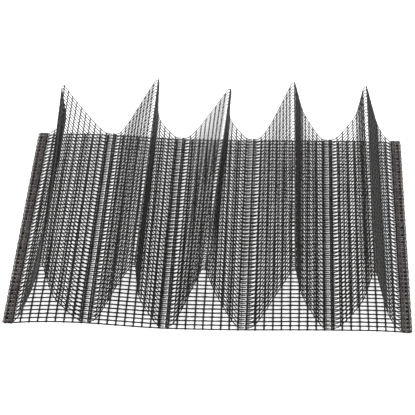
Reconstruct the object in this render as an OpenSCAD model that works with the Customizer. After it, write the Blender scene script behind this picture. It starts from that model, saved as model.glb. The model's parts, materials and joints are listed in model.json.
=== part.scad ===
// Baguette tray of coated open mesh. A flat base cloth carries a second cloth that is sewn to it
// along straight seams and stands up between them in ridges, so that a loaf lies over each seam.
// X runs across the channels, Y along them and Z up. The origin is the middle of the underside.
// Each cloth is drawn as a plain sheet as thick as two crossing yarns. It is cut at every seam
// and part of the way up each ridge, where the real cloth bends.

/* [Cloth] */
// Pitch of the weave: one opening and one yarn
cell = 8; // [7:0.5:9]
// Cells across the tray
cells_across = 47; // [47:1:48]
// Cells along the tray
cells_along = 52; // [20:1:80]
// Thickness of one cloth where two yarns cross
cloth = 1.2; // [0.8:0.1:1.2]

/* [Seams] */
// Seam lines, counted in cells from the left edge
seam_cells = [0.5, 9.6, 18.6, 27.8, 37.6, 46.5]; // [0:0.1:47]
// Distance between the two rows of stitches of one seam
row_spacing = 7.2; // [6:0.2:7.4]
// Needle thread, which lies on top
needle_thread_d = 0.6; // [0.4:0.1:0.8]
// Bobbin thread, which is sunk into the underside
bobbin_thread_d = 0.4; // [0.3:0.05:0.4]
// Width of the edge that is turned over at each side
hem_w = 9; // [8:0.5:11]

/* [Ridges] */
// Height of each crest at the front end
front_height = [59.5, 64.5, 63.5, 63.5, 61.5]; // [55:0.5:70]
// Height of each crest at the back end
back_height = [56.5, 67, 59, 67, 63.5]; // [55:0.5:70]
// How far each crest stands to the right of the middle of its seams at the front end
front_lean = [-4.5, 7.5, -1.5, 4.5, 3]; // [-15:0.5:15]
// The same at the back end
back_lean = [-14.5, 10.5, 12, 1.5, 1]; // [-15:0.5:15]
// Where the left side of each ridge bends at the front end, from 0 at its foot to 1 below the crest
front_left_share = [0.63, 0.59, 0.64, 0.65, 0.75]; // [0:0.01:1.3]
// Height of that bend
front_left_z = [31, 40, 40, 40, 31]; // [5:1:40]
// The same for the right side at the front end
front_right_share = [0.76, 0.84, 0.73, 0.77, 0.50]; // [0:0.01:1.3]
// Height of that bend
front_right_z = [27, 31, 40, 36, 17]; // [5:1:40]
// The left side at the back end
back_left_share = [1.25, 0.62, 0.68, 0.45, 0.75]; // [0:0.01:1.3]
// Height of that bend
back_left_z = [14, 40, 38, 23, 29]; // [5:1:40]
// The right side at the back end
back_right_share = [0.76, 1.00, 1.03, 0.71, 0.52]; // [0:0.01:1.3]
// Height of that bend
back_right_z = [40, 23, 25, 34, 18]; // [5:1:40]
// How far the valley goes on flat before it rises, as a share in the same way
valley_share = 0.12; // [0.05:0.01:0.2]
// How closely the cloth follows that bend, where 1 is a soft curve
bend_weight = 3; // [1:0.5:4]
// Radius of the fold along the crest, at the middle of the cloth
crest_r = 1.9; // [1.2:0.1:2.4]

/* [Motion] */
// Gap between two strips at a seam, where the cloth folds
fold_gap = 1; // [0.9:0.1:1.2]
// Distance from the middle of a strip's underside to the cut below its crest
crest_cut = 42; // [41:0.5:46]
// Gap between the two sides of that cut
cut_gap = 1.2; // [1:0.1:1.6]

/* [Hidden] */
width = cells_across * cell;
length = cells_along * cell;
seams = [for (s = seam_cells) s * cell - width / 2];
strips = len(seams) - 1;
foot = row_spacing / 2 + needle_thread_d;   // half of the flat valley along a seam
hem_foot = hem_w - cell / 2 + 0.5;          // the same beside a hem
foot_z = 1.5 * cloth;    // middle of the upper cloth where it lies on the base
top_z = 2 * cloth;       // upper face of both cloths together
hem_z = 3 * cloth;       // upper face of the turned edge
spans = 4;               // lengths into which a ridge is divided along Y
steps = 10;              // chords in one panel's curve
crest_steps = 8;         // chords in the fold along a crest
search_steps = 24;       // halvings when the cut is looked for
groove = [bobbin_thread_d + 0.3, bobbin_thread_d + 0.1];
smooth = 24;

SIDES = ["left", "right"];
function numbered(name, last) = [for (i = [1 : last]) str(name, "_", i)];
function sided(name, first, last) = [for (i = [first : last], s = SIDES) str(name, "_", i, "_", s)];

// Colours of the cloth, its turned edge and the thread
cloth_colour = "#2a2725";
hem_colour = "#36302e";
thread_colour = "#4a3f3b";

// ---- The ridge's shape at a share v of the way from the front end to the back ----

function mix(a, b, v) = a + (b - a) * v;
function seam_middle(i) = (seams[i] + seams[i + 1]) / 2;
function crest_x(i, v) = seam_middle(i) + mix(front_lean[i], back_lean[i], v);
function crest_z(i, v) = mix(front_height[i], back_height[i], v) - cloth / 2;

// side is -1 for the panel on the left of a ridge, 1 for the one on its right
function at_hem(i, side) = side < 0 ? i == 0 : i == strips - 1;
function foot_x(i, side) = seams[side < 0 ? i : i + 1] - side * (at_hem(i, side) ? hem_foot : foot);
function across(i, side, v, share) = mix(foot_x(i, side), crest_x(i, v), share);
// The two corners that a side's curve is pulled towards: one in the valley, one higher up
function valley(i, side, v) = [across(i, side, v, valley_share), foot_z];
function bend(i, side, v) = side < 0
    ? [across(i, side, v, mix(front_left_share[i], back_left_share[i], v)),
        mix(front_left_z[i], back_left_z[i], v)]
    : [across(i, side, v, mix(front_right_share[i], back_right_share[i], v)),
        mix(front_right_z[i], back_right_z[i], v)];
function fold_middle(i, v) = [crest_x(i, v), crest_z(i, v) - crest_r];
// How steeply a side meets the fold along the crest, where past 90 degrees it overhangs
function steepness(i, side, v) =
    let (d = fold_middle(i, v) - bend(i, side, v))
    atan2(d[1], -side * d[0]) + asin(crest_r / norm(d));
function fold_point(i, v, a) = fold_middle(i, v) + crest_r * [sin(a), cos(a)];

// A curve from a to c that is pulled towards the corner b
function pulled(a, b, c, t, weight = 1) =
    let (p = (1 - t) * (1 - t), q = 2 * t * (1 - t) * weight, r = t * t)
    (p * a + q * b + r * c) / (p + q + r);
// A point of a side's curve, from its foot at t = 0 to the crest's fold at t = 1
function panel_point(i, side, v, t) =
    let (a = valley(i, side, v), b = bend(i, side, v))
    t < 0.5
        ? pulled([foot_x(i, side), foot_z], a, (a + b) / 2, 2 * t)
        : pulled((a + b) / 2, b, fold_point(i, v, side * steepness(i, side, v)), 2 * t - 1, bend_weight);

// The share t at which the curve is as far as r from the middle of the strip's underside
function share_at(i, side, v, r, low = 0.5, high = 1, n = search_steps) =
    let (t = (low + high) / 2, p = panel_point(i, side, v, t) - [seam_middle(i), 0])
    n == 0 ? t : norm(p) < r
        ? share_at(i, side, v, r, t, high, n - 1)
        : share_at(i, side, v, r, low, t, n - 1);

// ---- A sheet along a curve that may change from the front end to the back ----

function normal_at(points, k) =
    let (d = points[min(k + 1, len(points) - 1)] - points[max(k - 1, 0)])
    [-d[1], d[0]] / norm(d);
function outline(points) = concat(
    [for (k = [0 : len(points) - 1]) points[k] + normal_at(points, k) * cloth / 2],
    [for (k = [len(points) - 1 : -1 : 0]) points[k] - normal_at(points, k) * cloth / 2]
);

// curves holds one curve for each place along Y, all with the same number of points
module sheet(curves) {
    m = 2 * len(curves[0]);
    last = len(curves) - 1;
    corners = [for (j = [0 : last], p = outline(curves[j])) [p[0], length * (j / last - 0.5), p[1]]];
    // Both faces of the sheet are split along the same diagonals, so that it stays equally thick
    sides = [for (j = [0 : last - 1], k = [0 : m - 1])
        let (n = (k + 1) % m, a = j * m + k, b = j * m + n, c = a + m, d = b + m)
        each k < m / 2 ? [[a, b, d], [a, d, c]] : [[a, b, c], [b, d, c]]];
    // Each end is a row of small quads along the curve, because one face would not be convex
    ends = [for (k = [0 : m / 2 - 2])
        let (quad = [k, k + 1, m - 2 - k, m - 1 - k])
        each [[quad[3], quad[2], quad[1], quad[0]], [for (corner = quad) last * m + corner]]];
    polyhedron(corners, concat(sides, ends));
}

// ---- Cloth ----

// One base strip, from the middle of one seam to the middle of the next
module base_strip(i) {
    x0 = i == 0 ? -width / 2 + cloth : seams[i] + fold_gap / 2;
    x1 = i == strips - 1 ? width / 2 - cloth : seams[i + 1] - fold_gap / 2;
    color(cloth_colour) difference() {
        translate([x0, -length / 2, 0]) cube([x1 - x0, length, cloth]);
        for (x = stitch_rows(i))
            translate([x - groove[0] / 2, -length / 2 - 1, -1]) cube([groove[0], length + 2, groove[1] + 1]);
    }
}

// The lower part of one side of a ridge, with its foot on the base strip
module ridge_panel(i, side) {
    end = side < 0
        ? (i == 0 ? -width / 2 + cloth : seams[i] + fold_gap / 2)
        : (i == strips - 1 ? width / 2 - cloth : seams[i + 1] - fold_gap / 2);
    color(cloth_colour) sheet([for (j = [0 : spans])
        let (v = j / spans, cut = share_at(i, side, v, crest_cut - cut_gap / 2))
        concat([[end, foot_z]], [for (k = [0 : steps]) panel_point(i, side, v, cut * k / steps)])]);
}

// The upper part of a ridge: the tops of both panels and the fold between them
module ridge_crest(i) {
    color(cloth_colour) sheet([for (j = [0 : spans])
        let (
            v = j / spans,
            cut = [for (side = [-1, 1]) share_at(i, side, v, crest_cut + cut_gap / 2)]
        )
        concat(
            [for (k = [0 : crest_steps]) panel_point(i, -1, v, mix(cut[0], 1, k / crest_steps))],
            [for (k = [1 : crest_steps - 1])
                fold_point(i, v, mix(-steepness(i, -1, v), steepness(i, 1, v), k / crest_steps))],
            [for (k = [crest_steps : -1 : 0]) panel_point(i, 1, v, mix(cut[1], 1, k / crest_steps))]
        )]);
}

// The base cloth's edge, turned up and over the edge of the upper cloth
module hem(side) {
    x = side * width / 2;
    color(hem_colour) rotate([90, 0, 0]) linear_extrude(length, center = true) polygon([
        [x, 0], [x, hem_z], [x - side * hem_w, hem_z],
        [x - side * hem_w, top_z], [x - side * cloth, top_z], [x - side * cloth, 0]
    ]);
}

// ---- Thread ----

// The stitch rows that lie on a strip: two on a hem, one on its half of any other seam
function hem_rows(side) = [for (k = [-0.5, 0.5])
    side * (width / 2 - cloth - (hem_w - cloth) / 2) + k * row_spacing * 0.7];
function left_rows(i) = i == 0 ? hem_rows(-1) : [seams[i] + row_spacing / 2];
function right_rows(i) = i == strips - 1 ? hem_rows(1) : [seams[i + 1] - row_spacing / 2];
function stitch_rows(i) = concat(left_rows(i), right_rows(i));

module threads(rows, d, z) {
    color(thread_colour) for (x = rows)
        translate([x, 0, z]) rotate([90, 0, 0]) cylinder(h = length, d = d, center = true, $fn = smooth);
}
module needle_thread(rows, surface = top_z) threads(rows, needle_thread_d, surface + needle_thread_d / 2);
module bobbin_thread(rows) threads(rows, bobbin_thread_d, groove[1] - bobbin_thread_d / 2);

// ---- The tray ----

for (i = [0 : strips - 1]) {
    base_strip(i);
    ridge_crest(i);
    for (s = [0, 1])
        ridge_panel(i, 2 * s - 1);
}
hem(-1);  // hem_left
hem(1);  // hem_right
needle_thread(hem_rows(-1), hem_z);  // needle_thread_1
needle_thread(hem_rows(1), hem_z);  // needle_thread_6
bobbin_thread(hem_rows(-1));  // bobbin_thread_1
bobbin_thread(hem_rows(1));  // bobbin_thread_6
for (k = [1 : strips - 1]) {
    needle_thread(right_rows(k - 1));
    needle_thread(left_rows(k));
    bobbin_thread(right_rows(k - 1));
    bobbin_thread(left_rows(k));
}
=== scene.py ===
"""Baguette tray: a flat mesh cloth with a corrugated mesh cloth sewn on it, woven yarn by yarn.

Every cloth is built the same way. A row function gives, for one place along the tray, the points,
face normals and cross directions of the cloth at given places across it. weave() lays warps along
the tray and wefts across it on that surface, each yarn passing over and under its neighbours.
All lengths are in metres.
"""

import json
import math

import bpy
import numpy as np
from mathutils import Matrix, Vector


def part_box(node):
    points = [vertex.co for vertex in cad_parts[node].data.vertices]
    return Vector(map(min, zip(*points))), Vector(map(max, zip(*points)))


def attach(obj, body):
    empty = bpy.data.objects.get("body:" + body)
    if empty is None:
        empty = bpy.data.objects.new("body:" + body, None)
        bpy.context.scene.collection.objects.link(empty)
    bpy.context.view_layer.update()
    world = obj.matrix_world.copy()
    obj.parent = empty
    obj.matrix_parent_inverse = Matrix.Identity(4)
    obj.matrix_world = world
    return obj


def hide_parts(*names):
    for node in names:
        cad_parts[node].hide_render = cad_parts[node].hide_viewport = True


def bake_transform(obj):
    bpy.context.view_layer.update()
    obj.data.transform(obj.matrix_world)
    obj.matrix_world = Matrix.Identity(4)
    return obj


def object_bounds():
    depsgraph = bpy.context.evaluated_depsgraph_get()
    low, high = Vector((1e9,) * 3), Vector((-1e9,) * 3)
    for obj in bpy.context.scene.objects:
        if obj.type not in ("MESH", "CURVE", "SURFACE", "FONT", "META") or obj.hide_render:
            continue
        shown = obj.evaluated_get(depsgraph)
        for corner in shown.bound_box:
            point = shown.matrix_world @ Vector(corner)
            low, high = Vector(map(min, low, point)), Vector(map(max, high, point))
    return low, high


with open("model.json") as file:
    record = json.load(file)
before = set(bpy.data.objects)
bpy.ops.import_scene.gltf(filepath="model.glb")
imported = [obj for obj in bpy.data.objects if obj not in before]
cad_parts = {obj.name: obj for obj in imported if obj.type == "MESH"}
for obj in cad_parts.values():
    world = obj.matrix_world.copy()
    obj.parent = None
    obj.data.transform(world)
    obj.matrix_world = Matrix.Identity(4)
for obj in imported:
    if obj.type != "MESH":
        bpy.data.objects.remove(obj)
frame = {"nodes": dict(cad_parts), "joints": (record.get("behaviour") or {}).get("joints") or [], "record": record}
cad_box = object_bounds()

# ---- Sizes that the frame doesn't state ----

CELL = 0.008             # pitch of the weave
YARN = (0.0013, 0.00095)  # width and thickness of a yarn between crossings
KNOT = (0.0019, 0.00080)  # the same where it crosses another and the coating has spread
CLOTH = 0.0012           # one cloth, where two yarns cross
FOOT = 0.0042            # half of the flat valley along a seam
HEM_FOOT = 0.0055        # the same beside a hem
CREST_RADIUS = 0.0019    # the fold along a crest, at the middle of the cloth
VALLEY = 0.12            # how far a valley goes on flat, as a share of the way to below the crest
# Where each side of a ridge bends, as (share of the way from its foot to below the crest, height):
# at the front end and at the back end, for the left side (-1) and the right side (1)
BEND = {
    1: {-1: ((0.63, 0.031), (1.25, 0.014)), 1: ((0.76, 0.027), (0.76, 0.040))},
    2: {-1: ((0.59, 0.040), (0.62, 0.040)), 1: ((0.84, 0.031), (1.00, 0.023))},
    3: {-1: ((0.64, 0.040), (0.68, 0.038)), 1: ((0.73, 0.040), (1.03, 0.025))},
    4: {-1: ((0.65, 0.040), (0.45, 0.023)), 1: ((0.77, 0.036), (0.71, 0.034))},
    5: {-1: ((0.75, 0.031), (0.75, 0.029)), 1: ((0.50, 0.017), (0.52, 0.018))},
}
BEND_WEIGHT = 3.0        # how closely the cloth follows that bend, where 1 is a soft curve
TURN_RADIUS = 0.0012     # the bend of a hem, at the middle of the cloth
SEAM_GAP = 0.0004        # the upper cloth stops this far from a seam, so that the seam can fold
PAST_SEAM = 0.0014       # the first warp of the upper cloth to the right of a seam
HEM_CLEAR = 0.0094       # the first warp of the upper cloth past a hem, from the tray's edge
HEM_WARPS = (0.0022, 0.0042, 0.0078)   # places along a hem's cloth, from its underside
HEM_SKEW = 0.0015        # how far a weft runs forwards as it goes round a hem
STITCH = 0.004           # length of one stitch
THREAD_WIDTH = 0.0005
PEG = 0.0009             # how far a warp stands out past the last weft
# How far the wefts stand back of a straight line, at places across the tray
BOW_X = (-0.188, -0.172, -0.155, -0.132, -0.110, -0.090, -0.060, -0.036, 0, 0.035, 0.060, 0.090,
         0.120, 0.150, 0.172, 0.188)
BOW_Y = (-0.0030, 0.0004, 0.0024, 0.0033, 0.0022, 0.0002, -0.0030, -0.0046, -0.0042, -0.0034,
         -0.0018, 0.0000, 0.0010, 0.0021, 0.0017, -0.0006)
DRIFT = 0.0026           # how far the upper cloth's wefts lie off the lower one's in the middle
RISE = 0.00028           # how far a warp rises over a weft at a crossing
WEFT_CRIMP = 0.4         # a weft rises this share of that
SIDES = 8                # sides of a yarn's cross-section
AT_CROSSING = (-0.3, 0.0, 0.3)   # rings of a yarn round each crossing, in cells
CREST_WARPS = (0.85, 0.15)       # the warps left and right of a crest, in cells from it
EDGE_CLEAR = 0.0012      # a base warp is left out where it is nearer than this to a strip's end
WAVE = 40                # how fast a warp weaves from side to side, in radians per metre
SIZE_SPREAD = 0.07       # a yarn is this share wider or narrower than the others
HOLE_DEPTH = 0.0007      # how far a stitch dips into the cloth
STITCH_SWAY = 0.0001     # how far a stitch strays to either side
STITCH_RINGS = 5         # rings along one stitch
CURVE_POINTS = 24        # points on each half of a ridge's side
FOLD_POINTS = 9          # points on each side of a crest's fold
TURN_POINTS = 14         # points round a hem
BOW_SMOOTHING = (-0.012, -0.006, 0, 0.006, 0.012)   # the bow is the mean at these distances

rng = np.random.default_rng(11)
WANDER = 0.00012         # how far a yarn strays from its place

# ---- Places taken from the frame ----

low, high = (Vector(c) for c in cad_box)
WIDTH = high.x - low.x
LENGTH = high.y - low.y
FRONT, BACK = low.y, high.y
joint_x = {j["name"]: j["pos_m"][0] for j in frame["joints"]}
EDGE = (low.x, high.x)
hem_inner = (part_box("hem_left")[1].x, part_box("hem_right")[0].x)
folds = [joint_x[f"seam_{k}_fold"] for k in (2, 3, 4, 5)]
seam_x = [low.x + CELL / 2, *folds, high.x - CELL / 2]
RIDGES = range(1, 6)


def crest_ends(i):
    """The highest point of a ridge at the front end and at the back end, as (x, z)."""
    points = np.array([v.co for v in frame["nodes"][f"ridge_crest_{i}"].data.vertices])
    ends = []
    for y in (FRONT, BACK):
        end = points[np.abs(points[:, 1] - y) < CELL / 4]
        top = end[end[:, 2] > end[:, 2].max() - CLOTH / 4]
        ends.append((top[:, 0].mean(), end[:, 2].max() - CLOTH / 2))
    return ends


# ---- Surfaces: row(v, u) gives points, normals and cross directions ----

def bow(x):
    """How far the wefts stand back of a straight line at x."""
    return sum(np.interp(x + d, BOW_X, BOW_Y) for d in BOW_SMOOTHING) / len(BOW_SMOOTHING)


def along_curve(curve, u, v):
    """Points at the lengths u along a curve of (x, z) points, at the place v along the tray."""
    steps = np.diff(curve, axis=0)
    reach = np.concatenate([[0], np.cumsum(np.linalg.norm(steps, axis=1))])
    x = np.interp(u, reach, curve[:, 0])
    z = np.interp(u, reach, curve[:, 1])
    tangents = np.gradient(curve, axis=0)
    tangents /= np.linalg.norm(tangents, axis=1)[:, None]
    tx = np.interp(u, reach, tangents[:, 0])
    tz = np.interp(u, reach, tangents[:, 1])
    size = np.hypot(tx, tz)
    tx, tz = tx / size, tz / size
    zero = np.zeros_like(x)
    return (
        np.stack([x, v + bow(x), z], 1),
        np.stack([-tz, zero, tx], 1),
        np.stack([tx, zero, tz], 1),
    )


def base_row(v, u):
    """The base cloth, where u is x."""
    one, zero = np.ones_like(u), np.zeros_like(u)
    return (
        np.stack([u, v + bow(u), np.full_like(u, CLOTH / 2)], 1),
        np.stack([zero, zero, one], 1),
        np.stack([one, zero, zero], 1),
    )


def pulled(a, b, c, weight=1.0):
    """A curve from a to c that is pulled towards the corner b."""
    t = np.linspace(0, 1, CURVE_POINTS)[:, None]
    p, q, r = (1 - t) ** 2, 2 * t * (1 - t) * weight, t ** 2
    return (p * a + q * b + r * c) / (p + q + r)


def ridge_halves(i, v):
    """The cross-section of ridge i at v, as two curves from the middle of a seam to the crest."""
    (x0, z0), (x1, z1) = CRESTS[i]
    share = (v - FRONT) / LENGTH
    middle = np.array([x0 + (x1 - x0) * share, z0 + (z1 - z0) * share - CREST_RADIUS])
    flat = 1.5 * CLOTH
    halves = []
    for side, seam, hem_ridge in ((-1, seam_x[i - 1], 1), (1, seam_x[i], 5)):
        end, foot_x = seam, seam - side * FOOT
        if i == hem_ridge:
            end, foot_x = EDGE[0 if side < 0 else 1] - side * CLOTH, seam - side * HEM_FOOT
        run = middle[0] - foot_x
        front, rear = BEND[i][side]
        valley = np.array([foot_x + run * VALLEY, flat])
        bend = np.array([
            foot_x + run * (front[0] + (rear[0] - front[0]) * share),
            front[1] + (rear[1] - front[1]) * share,
        ])
        rise = middle - bend
        angle = math.atan2(rise[1], -side * rise[0])
        angle += math.asin(CREST_RADIUS / np.linalg.norm(rise))
        a = np.linspace(angle, 0, FOLD_POINTS)[:, None]
        fold = middle + CREST_RADIUS * np.concatenate([side * np.sin(a), np.cos(a)], 1)
        lower = pulled(np.array([foot_x, flat]), valley, (valley + bend) / 2)
        upper = pulled((valley + bend) / 2, bend, fold[0], BEND_WEIGHT)
        halves.append(np.concatenate([[[end, flat]], lower, upper[1:], fold[1:]]))
    return halves


def curve_length(curve):
    return float(np.linalg.norm(np.diff(curve, axis=0), axis=1).sum())


def ridge_row(i, flat_left, flat):
    """Ridge i, where u is the length along the flat cloth and the crest lies at flat_left."""
    def row(v, u):
        left, right = ridge_halves(i, v)
        near = curve_length(left)
        places = np.interp(u, [0, flat_left, flat], [0, near, near + curve_length(right)])
        points, normals, across = along_curve(np.concatenate([left, right[-2::-1]]), places, v)
        along = 0.5 + 0.5 * math.sin(math.pi * (v - FRONT) / LENGTH)
        points[:, 1] += DRIFT * along * np.cos(math.pi * points[:, 0] / WIDTH)
        return points, normals, across
    return row


def hem_curve(side):
    """The turned edge: round the outer edge and back over the upper cloth."""
    edge, inner = (EDGE[0], hem_inner[0]) if side < 0 else (EDGE[1], hem_inner[1])
    centre = np.array([edge - side * (TURN_RADIUS + CLOTH / 2), 1.5 * CLOTH])
    a = np.linspace(-math.pi / 2, math.pi / 2, TURN_POINTS)
    turn = centre + TURN_RADIUS * np.stack([side * np.cos(a), np.sin(a)], 1)
    return np.concatenate([turn, [[inner, 2.5 * CLOTH]]])


# ---- Weaving ----

class Mesh:
    """Points, faces and face-corner coordinates of one piece, gathered yarn by yarn."""

    def __init__(self):
        self.points, self.quads, self.quad_uv, self.caps, self.count = [], [], [], [], 0

    def tubes(self, centre, side, normal, width, thick):
        """Flattened tubes, where the first three are (yarns, rings, 3) and the others (yarns, rings)."""
        yarns, rings = centre.shape[:2]
        a = np.arange(SIDES) * 2 * math.pi / SIDES
        ring = (
            centre[:, :, None]
            + side[:, :, None] * (width[:, :, None] / 2 * np.cos(a))[..., None]
            + normal[:, :, None] * (thick[:, :, None] / 2 * np.sin(a))[..., None]
        )
        self.points.append(ring.reshape(-1, 3))
        index = self.count + np.arange(yarns * rings * SIDES).reshape(yarns, rings, SIDES)
        near, far = index[:, :-1], index[:, 1:]
        turn = np.roll(near, -1, 2), np.roll(far, -1, 2)
        self.quads.append(np.stack([near, far, turn[1], turn[0]], -1).reshape(-1, 4))
        reach = np.concatenate(
            [np.zeros((yarns, 1)), np.cumsum(np.linalg.norm(np.diff(centre, axis=1), axis=2), 1)], 1
        )
        u0 = np.broadcast_to(np.arange(SIDES) / SIDES, (yarns, rings - 1, SIDES))
        v0 = np.broadcast_to(reach[:, :-1, None] / CELL, u0.shape)
        v1 = np.broadcast_to(reach[:, 1:, None] / CELL, u0.shape)
        u1 = u0 + 1 / SIDES
        corners = [np.stack(p, -1) for p in ((u0, v0), (u0, v1), (u1, v1), (u1, v0))]
        self.quad_uv.append(np.stack(corners, -2).reshape(-1, 2))
        self.caps.append(index[:, 0])
        self.caps.append(index[:, -1, ::-1])
        self.count += yarns * rings * SIDES

    def piece(self, name, material):
        quads, caps = np.concatenate(self.quads), np.concatenate(self.caps)
        mesh = bpy.data.meshes.new(name)
        mesh.from_pydata(np.concatenate(self.points).tolist(), [], quads.tolist() + caps.tolist())
        uv = mesh.uv_layers.new(name="yarn")
        coordinates = np.zeros((len(mesh.loops), 2), np.float32)
        coordinates[: quads.size] = np.concatenate(self.quad_uv)
        uv.data.foreach_set("uv", coordinates.ravel())
        mesh.polygons.foreach_set("use_smooth", np.arange(len(mesh.polygons)) < len(quads))
        mesh.materials.append(material)
        mesh.update()
        piece = bpy.data.objects.new(name, mesh)
        bpy.context.scene.collection.objects.link(piece)
        return piece


def swell(distance):
    """1 at a crossing, falling smoothly to 0 half a cell away."""
    return np.cos(math.pi / 2 * np.minimum(1, np.abs(distance) / (CELL / 2)))


def samples(crossings, start, end):
    """Where a yarn gets a ring: three round each crossing, and one at each end."""
    inner = [c + o * CELL for c in crossings for o in AT_CROSSING]
    return np.array([start] + [x for x in inner if start + 1e-4 < x < end - 1e-4] + [end])


def nearest(places, crossings):
    """For each place, the index of the nearest crossing and the distance to it."""
    gap = np.abs(places[:, None] - np.asarray(crossings)[None])
    k = gap.argmin(1)
    return k, gap[np.arange(len(places)), k]


def section(sign, near, crimp):
    """Rise, width and thickness of yarns, where near is 1 at a crossing."""
    knot = near ** 3
    size = rng.uniform(1 - SIZE_SPREAD, 1 + SIZE_SPREAD, (len(sign), 1))
    width = (YARN[0] + (KNOT[0] - YARN[0]) * knot) * size
    thick = (YARN[1] + (KNOT[1] - YARN[1]) * knot) * size ** 0.5
    return sign * near * RISE * crimp, width, thick


def weave(mesh, row, warps, wefts, u_range, parity=0):
    """Lays warps along the tray at the places u, and wefts across it, on one cloth."""
    warps = np.asarray(warps, float)
    # Warps, which run along the tray
    v = samples(wefts, FRONT - PEG, BACK + PEG)
    k, gap = nearest(v, wefts)
    stray = rng.normal(0, WANDER, len(warps))
    phase = rng.uniform(0, 2 * math.pi, len(warps))
    places = warps + stray
    rows = [row(y, np.clip(places + WANDER * np.sin(y * WAVE + phase), *u_range)) for y in v]
    centre, normal, side = (np.stack([r[n] for r in rows], 1) for n in range(3))
    sign = 1 - 2 * ((k[None] + np.arange(len(warps))[:, None] + parity) % 2)
    rise, width, thick = section(sign, swell(gap)[None], 1.0)
    mesh.tubes(centre + normal * rise[..., None], side, normal, width, thick)
    # Wefts, which run across it
    u = samples(warps, *u_range)
    k, gap = nearest(u, warps)
    rows = [row(y, u) for y in wefts]
    centre, normal, side = (np.stack([r[n] for r in rows], 0) for n in range(3))
    along = np.cross(normal, side)
    sign = 2 * ((np.arange(len(wefts))[:, None] + k[None] + parity) % 2) - 1
    rise, width, thick = section(sign, swell(gap)[None], WEFT_CRIMP)
    mesh.tubes(centre + normal * rise[..., None], along, normal, width, thick)


def stitches(mesh, x, surface, up, width):
    """One row of lockstitches along the tray, which dips into the cloth at every hole."""
    holes = round(LENGTH / STITCH)
    t = np.linspace(0, holes, holes * STITCH_RINGS + 1)
    y = FRONT + t / holes * LENGTH
    dip = np.abs(np.sin(math.pi * t)) ** 0.5
    z = surface + up * (width / 2 - HOLE_DEPTH * (1 - dip))
    sway = STITCH_SWAY * np.sin(math.pi * t) * (1 - 2 * (np.floor(t) % 2))
    centre = np.stack([x + sway, y + bow(x), z], 1)[None]
    side = np.broadcast_to([1.0, 0, 0], centre.shape)
    tangent = np.gradient(centre[0], axis=0)
    tangent /= np.linalg.norm(tangent, axis=1)[:, None]
    normal = np.cross(side[0], tangent)[None] * -1
    size = np.full((1, len(t)), width)
    mesh.tubes(centre, side, normal, size, size * 0.9)


# ---- Materials ----

def nodes_of(name):
    material = bpy.data.materials.new(name)
    material.use_nodes = True
    tree = material.node_tree
    return material, tree, tree.nodes["Principled BSDF"]


def link(tree, a, out, b, into):
    tree.links.new(a.outputs[out], b.inputs[into])


def noise(tree, coordinates, scale, detail=3.0):
    node = tree.nodes.new("ShaderNodeTexNoise")
    node.inputs["Scale"].default_value = scale
    node.inputs["Detail"].default_value = detail
    tree.links.new(coordinates, node.inputs["Vector"])
    return node


def ramp(tree, source, stops):
    node = tree.nodes.new("ShaderNodeValToRGB")
    tree.links.new(source, node.inputs["Fac"])
    for k, (place, colour) in enumerate(stops):
        if k > 1:
            node.color_ramp.elements.new(place)
        node.color_ramp.elements[k].position = place
        node.color_ramp.elements[k].color = (*colour, 1)
    return node


def level(tree, source, a, b):
    node = tree.nodes.new("ShaderNodeMapRange")
    tree.links.new(source, node.inputs["Value"])
    node.inputs["To Min"].default_value = a
    node.inputs["To Max"].default_value = b
    return node


def coated_yarn(name, dark, light, rough, strands, strand_depth, specular):
    """Coated yarn: patchy colour, uneven gloss, and strands that show through the coating."""
    material, tree, shader = nodes_of(name)
    place = tree.nodes.new("ShaderNodeTexCoord")
    patches = noise(tree, place.outputs["Object"], 55)
    grain = noise(tree, place.outputs["Object"], 1400, 4.0)
    colour = ramp(tree, patches.outputs["Fac"], [(0.32, dark), (0.72, light)])
    link(tree, colour, "Color", shader, "Base Color")
    gloss = level(tree, grain.outputs["Fac"], *rough)
    link(tree, gloss, "Result", shader, "Roughness")
    turned = tree.nodes.new("ShaderNodeMapping")
    turned.inputs["Scale"].default_value = (*strands[:2], 1)
    turned.inputs["Rotation"].default_value = (0, 0, strands[2])
    link(tree, place, "UV", turned, "Vector")
    strands = noise(tree, turned.outputs["Vector"], 1.0, 2.0)
    both = tree.nodes.new("ShaderNodeMath")
    both.operation = "ADD"
    link(tree, strands, "Fac", both, 0)
    link(tree, grain, "Fac", both, 1)
    bump = tree.nodes.new("ShaderNodeBump")
    bump.inputs["Strength"].default_value = 0.5
    bump.inputs["Distance"].default_value = strand_depth
    link(tree, both, "Value", bump, "Height")
    link(tree, bump, "Normal", shader, "Normal")
    shader.inputs["IOR"].default_value = 1.4
    shader.inputs["Specular IOR Level"].default_value = specular
    return material


# Strands are stated as how many there are round a yarn and along a cell, and how they are turned
MESH = coated_yarn(
    "coated_mesh", dark=(0.0050, 0.0042, 0.0038), light=(0.0130, 0.0115, 0.0106),
    rough=(0.40, 0.62), strands=(14, 0.5, 0), strand_depth=0.00006, specular=0.18,
)
HEM = coated_yarn(
    "turned_edge", dark=(0.042, 0.035, 0.033), light=(0.090, 0.076, 0.072),
    rough=(0.45, 0.65), strands=(14, 0.5, 0), strand_depth=0.00006, specular=0.25,
)
THREAD = coated_yarn(
    "sewing_thread", dark=(0.016, 0.013, 0.012), light=(0.042, 0.034, 0.031),
    rough=(0.5, 0.7), strands=(5, 9, 0.6), strand_depth=0.0001, specular=0.2,
)


def floor_material():
    material, tree, shader = nodes_of("pale_floor")
    place = tree.nodes.new("ShaderNodeTexCoord")
    tone = noise(tree, place.outputs["Object"], 2.0)
    colour = ramp(tree, tone.outputs["Fac"], [(0.3, (0.94, 0.94, 0.94)), (0.7, (0.96, 0.96, 0.96))])
    link(tree, colour, "Color", shader, "Base Color")
    shader.inputs["Roughness"].default_value = 0.9
    shader.inputs["Specular IOR Level"].default_value = 0.1
    return material


# ---- Pieces ----

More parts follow.
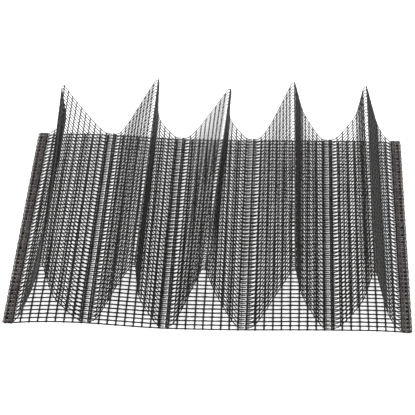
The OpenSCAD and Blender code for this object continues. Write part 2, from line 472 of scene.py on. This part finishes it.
CRESTS = {i: crest_ends(i) for i in RIDGES}
columns = np.arange(round(WIDTH / CELL) + 1) * CELL + EDGE[0]
wefts = np.linspace(FRONT, BACK, round(LENGTH / CELL) + 1)
# Each weft is one yarn from edge to edge, so that it strays alike in every piece of its cloth
base_wefts, upper_wefts = (wefts + rng.normal(0, WANDER, len(wefts)) for _ in range(2))


def base_cloth(i):
    """Strip i of the base cloth, from seam to seam. Gives the piece and its flat width."""
    start = seam_x[i - 1] if i > 1 else EDGE[0] + TURN_RADIUS + CLOTH / 2
    end = seam_x[i] if i < 5 else EDGE[1] - TURN_RADIUS - CLOTH / 2
    inside = [x for x in columns if start + EDGE_CLEAR < x < end - EDGE_CLEAR]
    mesh = Mesh()
    first = round((inside[0] - EDGE[0]) / CELL)
    weave(mesh, base_row, inside, base_wefts, (start, end), parity=first % 2)
    piece = mesh.piece(f"base_cloth_{i}", MESH)
    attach(piece, f"strip_{i}")
    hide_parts(f"base_strip_{i}")
    return piece, end - start


def ridge_cloth(i):
    """The upper cloth over strip i, whose crest leans. Gives the piece and its flat width."""
    ends = [[curve_length(half) for half in ridge_halves(i, v)] for v in (FRONT, 0, BACK)]
    flat_left, flat_right = np.mean(ends, 0)
    flat = flat_left + flat_right
    first = PAST_SEAM if i > 1 else HEM_CLEAR - CLOTH
    last = flat - (CELL - PAST_SEAM if i < 5 else HEM_CLEAR - CLOTH)
    below, above = flat_left - CREST_WARPS[0] * CELL, flat_left + CREST_WARPS[1] * CELL
    warps = [
        *np.linspace(first, below, round((below - first) / CELL) + 1),
        *np.linspace(above, last, round((last - above) / CELL) + 1),
    ]
    if i == 1:
        warps.insert(0, YARN[0])
    if i == 5:
        warps.append(flat - YARN[0])
    reach = (SEAM_GAP if i > 1 else 0, flat - (SEAM_GAP if i < 5 else 0))
    mesh = Mesh()
    weave(mesh, ridge_row(i, flat_left, flat), warps, upper_wefts, reach, parity=i % 2)
    piece = mesh.piece(f"ridge_cloth_{i}", MESH)
    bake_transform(piece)
    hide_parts(f"ridge_panel_{i}_left", f"ridge_panel_{i}_right", f"ridge_crest_{i}")
    return piece, flat


def hem_cloth(side, name, body):
    """The turned edge at one side. Its wefts are the base cloth's own, carried round the edge."""
    curve = hem_curve(side)
    flat = curve_length(curve)
    warps = [*HEM_WARPS, flat - YARN[0] / 2]

    def row(v, u):
        points, normals, across = along_curve(curve, u, v)
        points[:, 1] -= HEM_SKEW * u / flat
        return points, normals, across

    mesh = Mesh()
    weave(mesh, row, warps, base_wefts, (0, flat))
    piece = mesh.piece(f"{name}_cloth", HEM)
    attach(piece, body)
    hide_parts(name)
    return piece


def thread_rows(node, body, surface, up, width):
    """The rows of stitches that stand for one CAD node of thread."""
    a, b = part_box(node)
    rows = [(a.x + b.x) / 2] if b.x - a.x < 2 * width else [a.x + width / 2, b.x - width / 2]
    mesh = Mesh()
    for x in rows:
        stitches(mesh, x, surface, up, width)
    piece = mesh.piece(f"{node}_stitches", THREAD)
    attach(piece, body)
    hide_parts(node)
    return piece


bodies = frame["record"]["behaviour"]["bodies"]
body_of = {node: body for body, members in bodies.items() for node in members}
threads = {}
for node, body in body_of.items():
    if "needle_thread" in node:
        threads[node] = thread_rows(node, body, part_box(node)[0].z, 1, THREAD_WIDTH)
    if "bobbin_thread" in node:
        threads[node] = thread_rows(node, body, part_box(node)[1].z, -1, 0.66 * THREAD_WIDTH)
hems = {
    "strip_1": hem_cloth(-1, "hem_left", "strip_1"),
    "strip_5": hem_cloth(1, "hem_right", "strip_5"),
}
for i in RIDGES:
    body = f"strip_{i}"
    sewn = [p for n, p in threads.items() if body_of[n] == body]
    sewn += [hems[body]] if body in hems else []
    base, wide = base_cloth(i)
    ridge, flat = ridge_cloth(i)

# ---- Stage, light and camera ----

FLOOR_SIZE = 14.0
FLOOR_Z = -0.0001        # just below the tray, so that the two never share a plane
SENSOR = 36              # mm, as the lens is


def plane(name, size, z, material):
    h = size / 2
    mesh = bpy.data.meshes.new(name)
    mesh.from_pydata([(-h, -h, z), (h, -h, z), (h, h, z), (-h, h, z)], [], [(0, 1, 2, 3)])
    mesh.materials.append(material)
    piece = bpy.data.objects.new(name, mesh)
    bpy.context.scene.collection.objects.link(piece)
    return piece


plane("floor", FLOOR_SIZE, FLOOR_Z, floor_material())


def area_light(name, place, target, size, watts, colour=(1, 1, 1)):
    data = bpy.data.lights.new(name, "AREA")
    data.shape = "SQUARE"
    data.size = size
    data.energy = watts
    data.color = colour
    lamp = bpy.data.objects.new(name, data)
    lamp.location = place
    lamp.rotation_euler = (Vector(target) - Vector(place)).to_track_quat("-Z", "Y").to_euler()
    bpy.context.scene.collection.objects.link(lamp)


area_light("key_light", (-1.1, -0.9, 1.9), (0, 0, 0), 1.6, 26)
area_light("fill_light", (1.6, -0.4, 1.5), (0, 0, 0), 1.8, 12)

world = bpy.data.worlds.new("studio")
world.use_nodes = True
world.node_tree.nodes["Background"].inputs["Color"].default_value = (1, 1, 1, 1)
world.node_tree.nodes["Background"].inputs["Strength"].default_value = 1.5
bpy.context.scene.world = world
bpy.context.scene.view_settings.view_transform = "Standard"

# The camera stands a little to the right of the middle and looks down on the tray from the front
AZIMUTH, ELEVATION, ROLL = (math.radians(a) for a in (1.35, 25.8, 0.9))
DISTANCE = 3.036
LENS = 265.7
TARGET = Vector((-0.0074, 0.0448, 0))

back = Vector((
    math.sin(AZIMUTH) * math.cos(ELEVATION),
    -math.cos(AZIMUTH) * math.cos(ELEVATION),
    math.sin(ELEVATION),
))
right = back.cross(Vector((0, 0, 1))).normalized() * -1
up = back.cross(right)
right, up = (
    right * math.cos(ROLL) + up * math.sin(ROLL),
    up * math.cos(ROLL) - right * math.sin(ROLL),
)
camera_data = bpy.data.cameras.new("camera")
camera_data.lens = LENS
camera_data.sensor_width = SENSOR
camera_data.clip_end = 40
camera = bpy.data.objects.new("camera", camera_data)
turn = Matrix((right, up, back)).transposed().to_4x4()
camera.matrix_world = Matrix.Translation(TARGET + back * DISTANCE) @ turn
bpy.context.scene.collection.objects.link(camera)
bpy.context.scene.camera = camera
